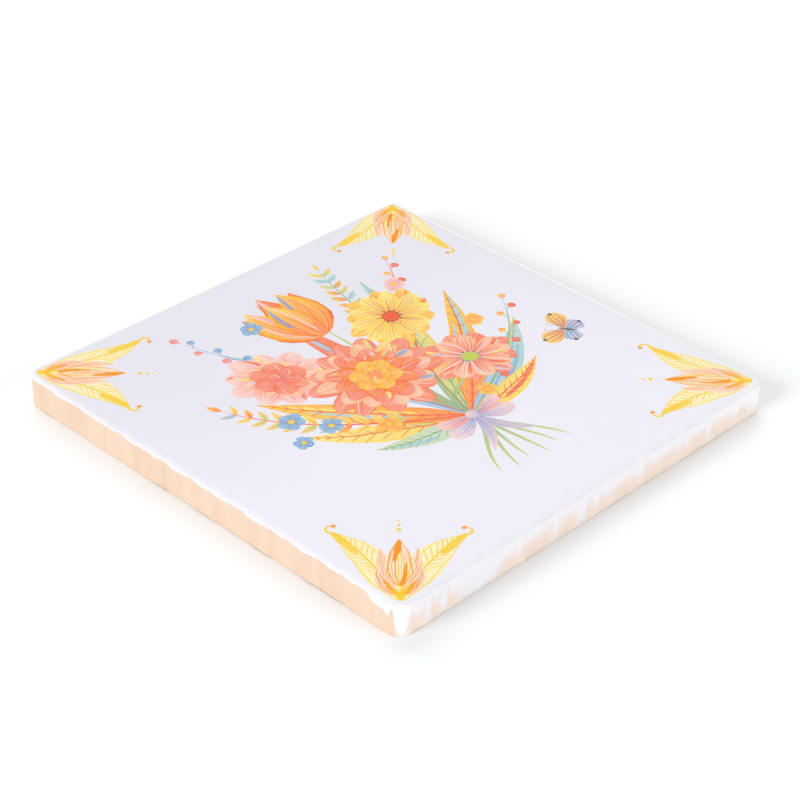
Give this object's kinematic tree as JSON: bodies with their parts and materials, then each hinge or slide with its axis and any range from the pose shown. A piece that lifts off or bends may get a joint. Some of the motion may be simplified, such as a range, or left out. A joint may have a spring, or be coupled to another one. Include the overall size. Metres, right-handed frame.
{
  "type": "delft tile",
  "caption": "Square tin-glazed earthenware picture tile with a rolled glaze edge, runs down one side and a keyed back.",
  "frame": {"origin": "centre of the back face, where the tile rests", "axes": "+Z out of the glazed face, +Y to the top of the picture, +X to its right"},
  "size_m": [0.1, 0.1, 0.007],
  "materials": {
    "glazed_earthenware": "glossy white tin glaze with painted decoration over the face and edges, bare peach clay on the lower sides and the back"
  },
  "bodies": {
    "root": {"tile": "glazed_earthenware"}
  },
  "joints": []
}
